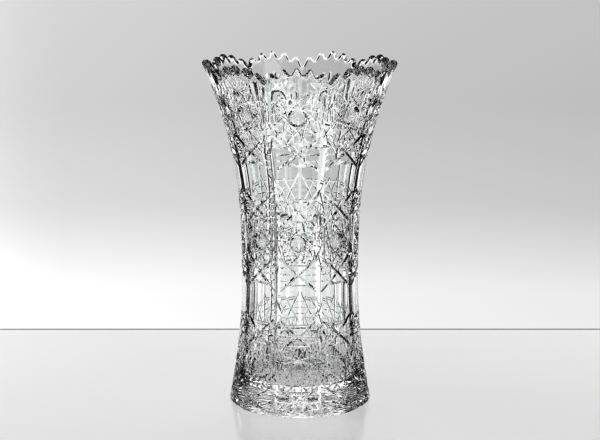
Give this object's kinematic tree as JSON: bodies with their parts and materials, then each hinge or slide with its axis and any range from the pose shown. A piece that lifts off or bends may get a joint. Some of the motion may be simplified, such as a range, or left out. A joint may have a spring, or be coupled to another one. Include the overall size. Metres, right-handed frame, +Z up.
{
  "type": "cut crystal vase",
  "caption": "Tall waisted vase of clear cut lead crystal, flared at mouth and foot, with a toothed scalloped rim, star-cut panels and clear windows between upright grooves.",
  "frame": {"origin": "centre of the flat underside, on the vase's axis", "axes": "+Z up along the vase's axis; -Y through the middle of one cut panel; +X to the right when that panel faces the viewer"},
  "size_m": [0.1712, 0.1703, 0.305],
  "materials": {
    "lead_crystal": "clear polished lead crystal with bright hand-cut facets"
  },
  "bodies": {
    "root": {"vase_body": "lead_crystal"}
  },
  "joints": []
}
